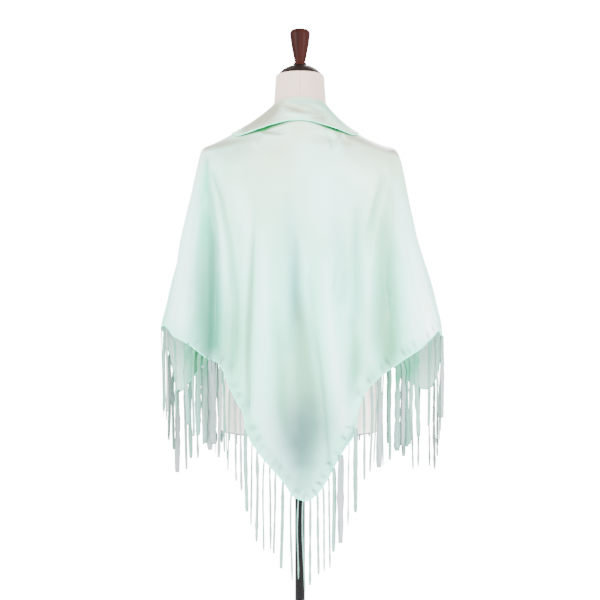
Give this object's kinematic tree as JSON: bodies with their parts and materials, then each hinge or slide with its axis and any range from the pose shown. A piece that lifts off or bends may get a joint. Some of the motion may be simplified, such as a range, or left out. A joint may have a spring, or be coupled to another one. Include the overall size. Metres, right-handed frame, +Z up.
{
  "type": "fringed triangular shawl on a limbless dress form",
  "caption": "Satin triangle shawl with a folded collar edge and long fringe, draped round the shoulders of a limbless dress form on a pole stand.",
  "frame": {"origin": "centre of the foot's underside, on the floor under the pole's axis", "axes": "+Z up, +Y towards the wearer's front where the fronts are open, +X towards the wearer's right shoulder"},
  "size_m": [0.5855, 0.38, 1.5328],
  "materials": {
    "satin": "soft satin sheen, pale mint",
    "fringe": "silky strands, grey mint",
    "form_cover": "matt cream jersey",
    "neck_cap": "dark satin lacquer",
    "finial_wood": "dark red-brown lacquer",
    "stand_metal": "black paint, semi-gloss",
    "stand_iron": "black paint, satin"
  },
  "bodies": {
    "root": {"shawl_body": "satin", "shawl_collar": "satin", "fringe_left": "fringe", "fringe_right": "fringe", "form_torso": "form_cover", "form_neck_cap": "neck_cap", "form_finial": "finial_wood", "form_base_plate": "stand_metal", "stand_pole": "stand_metal", "stand_base": "stand_iron"}
  },
  "joints": []
}
